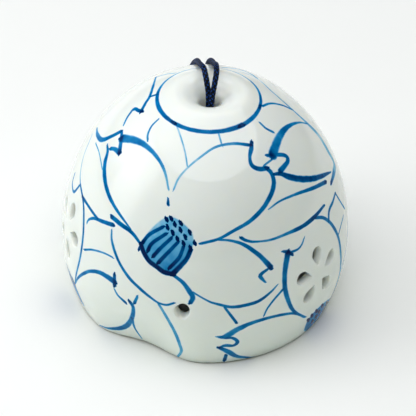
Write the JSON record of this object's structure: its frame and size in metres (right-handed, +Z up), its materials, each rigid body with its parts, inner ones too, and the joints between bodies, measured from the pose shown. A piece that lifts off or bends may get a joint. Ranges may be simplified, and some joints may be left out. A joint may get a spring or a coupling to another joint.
{
  "type": "wind bell",
  "caption": "Egg-shaped glazed porcelain wind bell with pierced flower openwork, an arched rim, a looped hanging cord and a free-swinging porcelain clapper inside.",
  "frame": {"origin": "middle of the rim's flat foot, on the surface that the bell stands on", "axes": "+Z up along the bell's axis, -Y towards the front of the bell, +X to the right as seen from the front"},
  "size_m": [0.075, 0.0767, 0.0669],
  "materials": {
    "porcelain": "clear gloss glaze over white porcelain, underglaze blue brush lines",
    "braided_cord": "matt navy round braid"
  },
  "bodies": {
    "bell": {"bell_shell": "porcelain", "hanging_cord": "braided_cord"},
    "knot": {"stop_knot": "braided_cord"},
    "clapper": {"clapper_cord": "braided_cord", "clapper": "porcelain", "clapper_knot": "braided_cord"}
  },
  "joints": [
    {"name": "clapper_turn", "type": "hinge", "parent": "bell", "child": "knot", "pos_m": [0, 0, 0.04504], "axis": [0, 0, 1], "continuous": true},
    {"name": "clapper_swing", "type": "hinge", "parent": "knot", "child": "clapper", "pos_m": [0, 0, 0.04504], "axis": [1, 0, 0], "range_deg": [-49, 49]}
  ]
}
